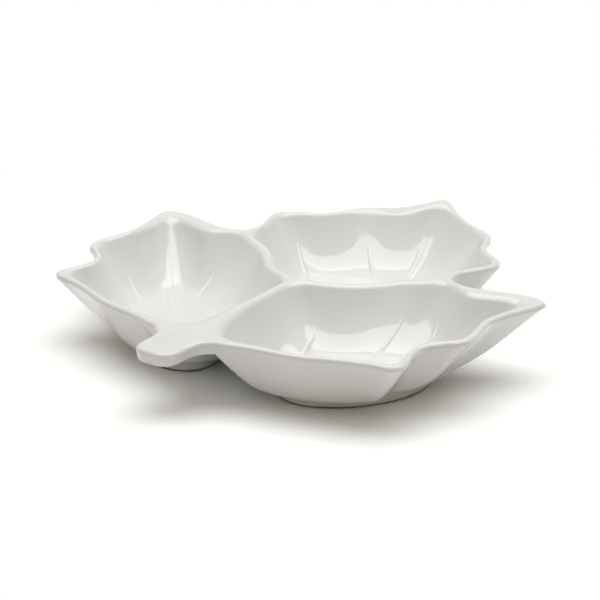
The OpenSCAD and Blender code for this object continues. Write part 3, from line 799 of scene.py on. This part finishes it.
side_shell = shell_rows(side_bowl_edge, SIDE_FLOOR, SIDE_BASE, bowl_form, FOLD_IN)
tip_shell = shell_rows(tip_bowl_edge, TIP_FLOOR, TIP_BASE, bowl_form)
stem_shell = shell_rows(stem_outline, STEM_CORE, STEM_BASE, stem_form)
skins = {"glazed_right_bowl": skin_of(dressed(side_shell, right_veins)),
         "glazed_left_bowl": mirror_image(skin_of(dressed(side_shell, left_veins))),
         "glazed_tip_bowl": skin_of(dressed(tip_shell, tip_veins)),
         "glazed_stem": skin_of(dressed(stem_shell, waved=False))}
stands_for = {
    "glazed_right_bowl": ["right_bowl", "right_midrib", "right_hub_vein", "right_crest_vein",
                          "right_notch_vein", "right_outer_vein"],
    "glazed_left_bowl": ["left_bowl", "left_midrib", "left_hub_vein", "left_crest_vein",
                         "left_notch_vein", "left_outer_vein"],
    "glazed_tip_bowl": ["tip_bowl", "tip_midrib", "tip_right_upper_vein", "tip_right_lower_vein",
                        "tip_left_upper_vein", "tip_left_lower_vein"],
    "glazed_stem": ["stem"]}
glaze = white_glaze()
foot_clay_and_shade_material = foot_clay_and_shade()
for (name, skin), normals in zip(skins.items(), shared_normals(list(skins.values()))):
    piece = mesh_piece(name, skin, normals, glaze)
    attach(piece, "root")
    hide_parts(*stands_for[name])

feet = {"right_foot": foot_ring_skin(RIGHT_FOOT),
        "left_foot": mirror_image(foot_ring_skin(LEFT_FOOT)),
        "tip_foot": foot_ring_skin(TIP_FOOT)}
for name, skin in feet.items():
    piece = mesh_piece(name, skin, shared_normals([skin])[0], foot_clay_and_shade_material)
    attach(piece, "root")
    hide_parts(name + "_ring")

# Studio, in metres: paper as light meets it and as it is seen, and the distances between which it
# passes into even white
WHITE = (1, 1, 1, 1)
PAPER, PAPER_SEEN = (0.9, 0.895, 0.885, 1), (1.13, 1.135, 1.135, 1)
PAPER_FADE, PAPER_HALF = (0.26, 0.46), 6.0
LOOK_AT = Vector((-0.0494, 0.0525, 0.0))
CAMERA_AT = Vector((0.6540, -0.8834, 0.4378))
CAMERA_LENS, CAMERA_SENSOR = 108.0, 36.0
SOFT_BOX_H, SOFT_BOX_BACK, SOFT_BOX_RIGHT = 1.15, 0.01, 0.11
SOFT_BOX_SIZE, SOFT_BOX_POWER = (1.9, 1.15), 13.8
# Fill from the sides and from above, and the mirrored studio on the camera's side and behind
FILL_TINT = (1.0, 0.945, 0.81, 1)
FILL = (0.23, 0.36)
MIRRORED, MIRROR_SPAN = (0.22, 0.66), (0.05, 0.6)


def paper_floor():
    """White paper sweep: plain diffuse white; seen by the camera or mirrored in the glaze it is
    bright enough to read as white, keeps the dish's shadow near it, and is even white far off."""
    material, n = fresh_material("white_paper")
    path = n.add("ShaderNodeLightPath").outputs
    seen = n.math("MAXIMUM", path["Is Camera Ray"], path["Is Glossy Ray"])
    seen = n.math("MAXIMUM", seen, path["Is Transmission Ray"])
    paper = n.add("ShaderNodeBsdfDiffuse", {"Color": n.blend(seen, PAPER, PAPER_SEEN)})
    place = n.add("ShaderNodeTexCoord").outputs["Object"]
    far = n.add("ShaderNodeVectorMath", {0: place}, operation="LENGTH").outputs["Value"]
    even = n.math("MULTIPLY", n.ranged(far, PAPER_FADE, interpolation_type="SMOOTHSTEP"), seen)
    white = n.add("ShaderNodeEmission", {"Color": WHITE, "Strength": 1.0})
    mixed = n.add("ShaderNodeMixShader", {0: even, 1: paper.outputs[0], 2: white.outputs[0]})
    n.add("ShaderNodeOutputMaterial", {"Surface": mixed.outputs[0]})
    return material


floor_mesh = bpy.data.meshes.new("paper_floor")
floor_mesh.from_pydata([(-PAPER_HALF, -PAPER_HALF, 0), (PAPER_HALF, -PAPER_HALF, 0),
                        (PAPER_HALF, PAPER_HALF, 0), (-PAPER_HALF, PAPER_HALF, 0)], [],
                       [(0, 1, 2, 3)])
floor_mesh.materials.append(paper_floor())
floor = bpy.data.objects.new("paper_floor", floor_mesh)
scene = bpy.context.scene
scene.collection.objects.link(floor)

# Camera at the photograph's angle
camera_data = bpy.data.cameras.new("camera")
camera_data.lens, camera_data.sensor_width = CAMERA_LENS, CAMERA_SENSOR
camera_data.sensor_fit = "HORIZONTAL"
camera = bpy.data.objects.new("camera", camera_data)
camera.location = CAMERA_AT
camera.rotation_euler = (LOOK_AT - CAMERA_AT).to_track_quat("-Z", "Y").to_euler()
scene.collection.objects.link(camera)
scene.camera = camera

# Soft box over the dish, a little to its right as the camera sees it
away = (LOOK_AT - CAMERA_AT) * Vector((1, 1, 0))
away.normalize()
aside = Vector((away.y, -away.x, 0))
lamp_data = bpy.data.lights.new("soft_box", "AREA")
lamp_data.shape, lamp_data.size, lamp_data.size_y = "ELLIPSE", *SOFT_BOX_SIZE
lamp_data.energy = SOFT_BOX_POWER
lamp = bpy.data.objects.new("soft_box", lamp_data)
over_dish = Vector((LOOK_AT.x, LOOK_AT.y, SOFT_BOX_H))
lamp.location = over_dish + away * SOFT_BOX_BACK + aside * SOFT_BOX_RIGHT
lamp.rotation_euler = (0, 0, np.arctan2(away.y, away.x) - np.pi / 2)
scene.collection.objects.link(lamp)

# White studio: the background is white to the camera, bright behind the dish and dimmer on the
# camera's side in reflections, and gives a warm fill, stronger from above, to everything else
world = bpy.data.worlds.new("studio")
scene.world = world
world.use_nodes = True
w = Nodes(world.node_tree)
path = w.add("ShaderNodeLightPath").outputs
direction = w.add("ShaderNodeTexCoord").outputs["Generated"]
behind = w.add("ShaderNodeVectorMath", {0: direction, 1: tuple(away)}, operation="DOT_PRODUCT")
upward = w.add("ShaderNodeSeparateXYZ", {"Vector": direction}).outputs["Z"]
mirror_ray = w.math("MAXIMUM", path["Is Glossy Ray"], path["Is Transmission Ray"])
sweep = w.ranged(behind.outputs["Value"], MIRROR_SPAN, MIRRORED, interpolation_type="SMOOTHSTEP")
light = w.add("ShaderNodeMix", {"Factor": mirror_ray, "A": w.ranged(upward, to=FILL), "B": sweep})
level = w.add("ShaderNodeMix", {"Factor": path["Is Camera Ray"], "A": light.outputs[0], "B": 1.0})
untinted = w.math("MAXIMUM", path["Is Camera Ray"], mirror_ray)
studio = w.add("ShaderNodeBackground", {"Color": w.blend(untinted, FILL_TINT, WHITE),
                                        "Strength": level.outputs[0]})
w.add("ShaderNodeOutputWorld", {"Surface": studio.outputs[0]})

scene.view_settings.view_transform = "Standard"
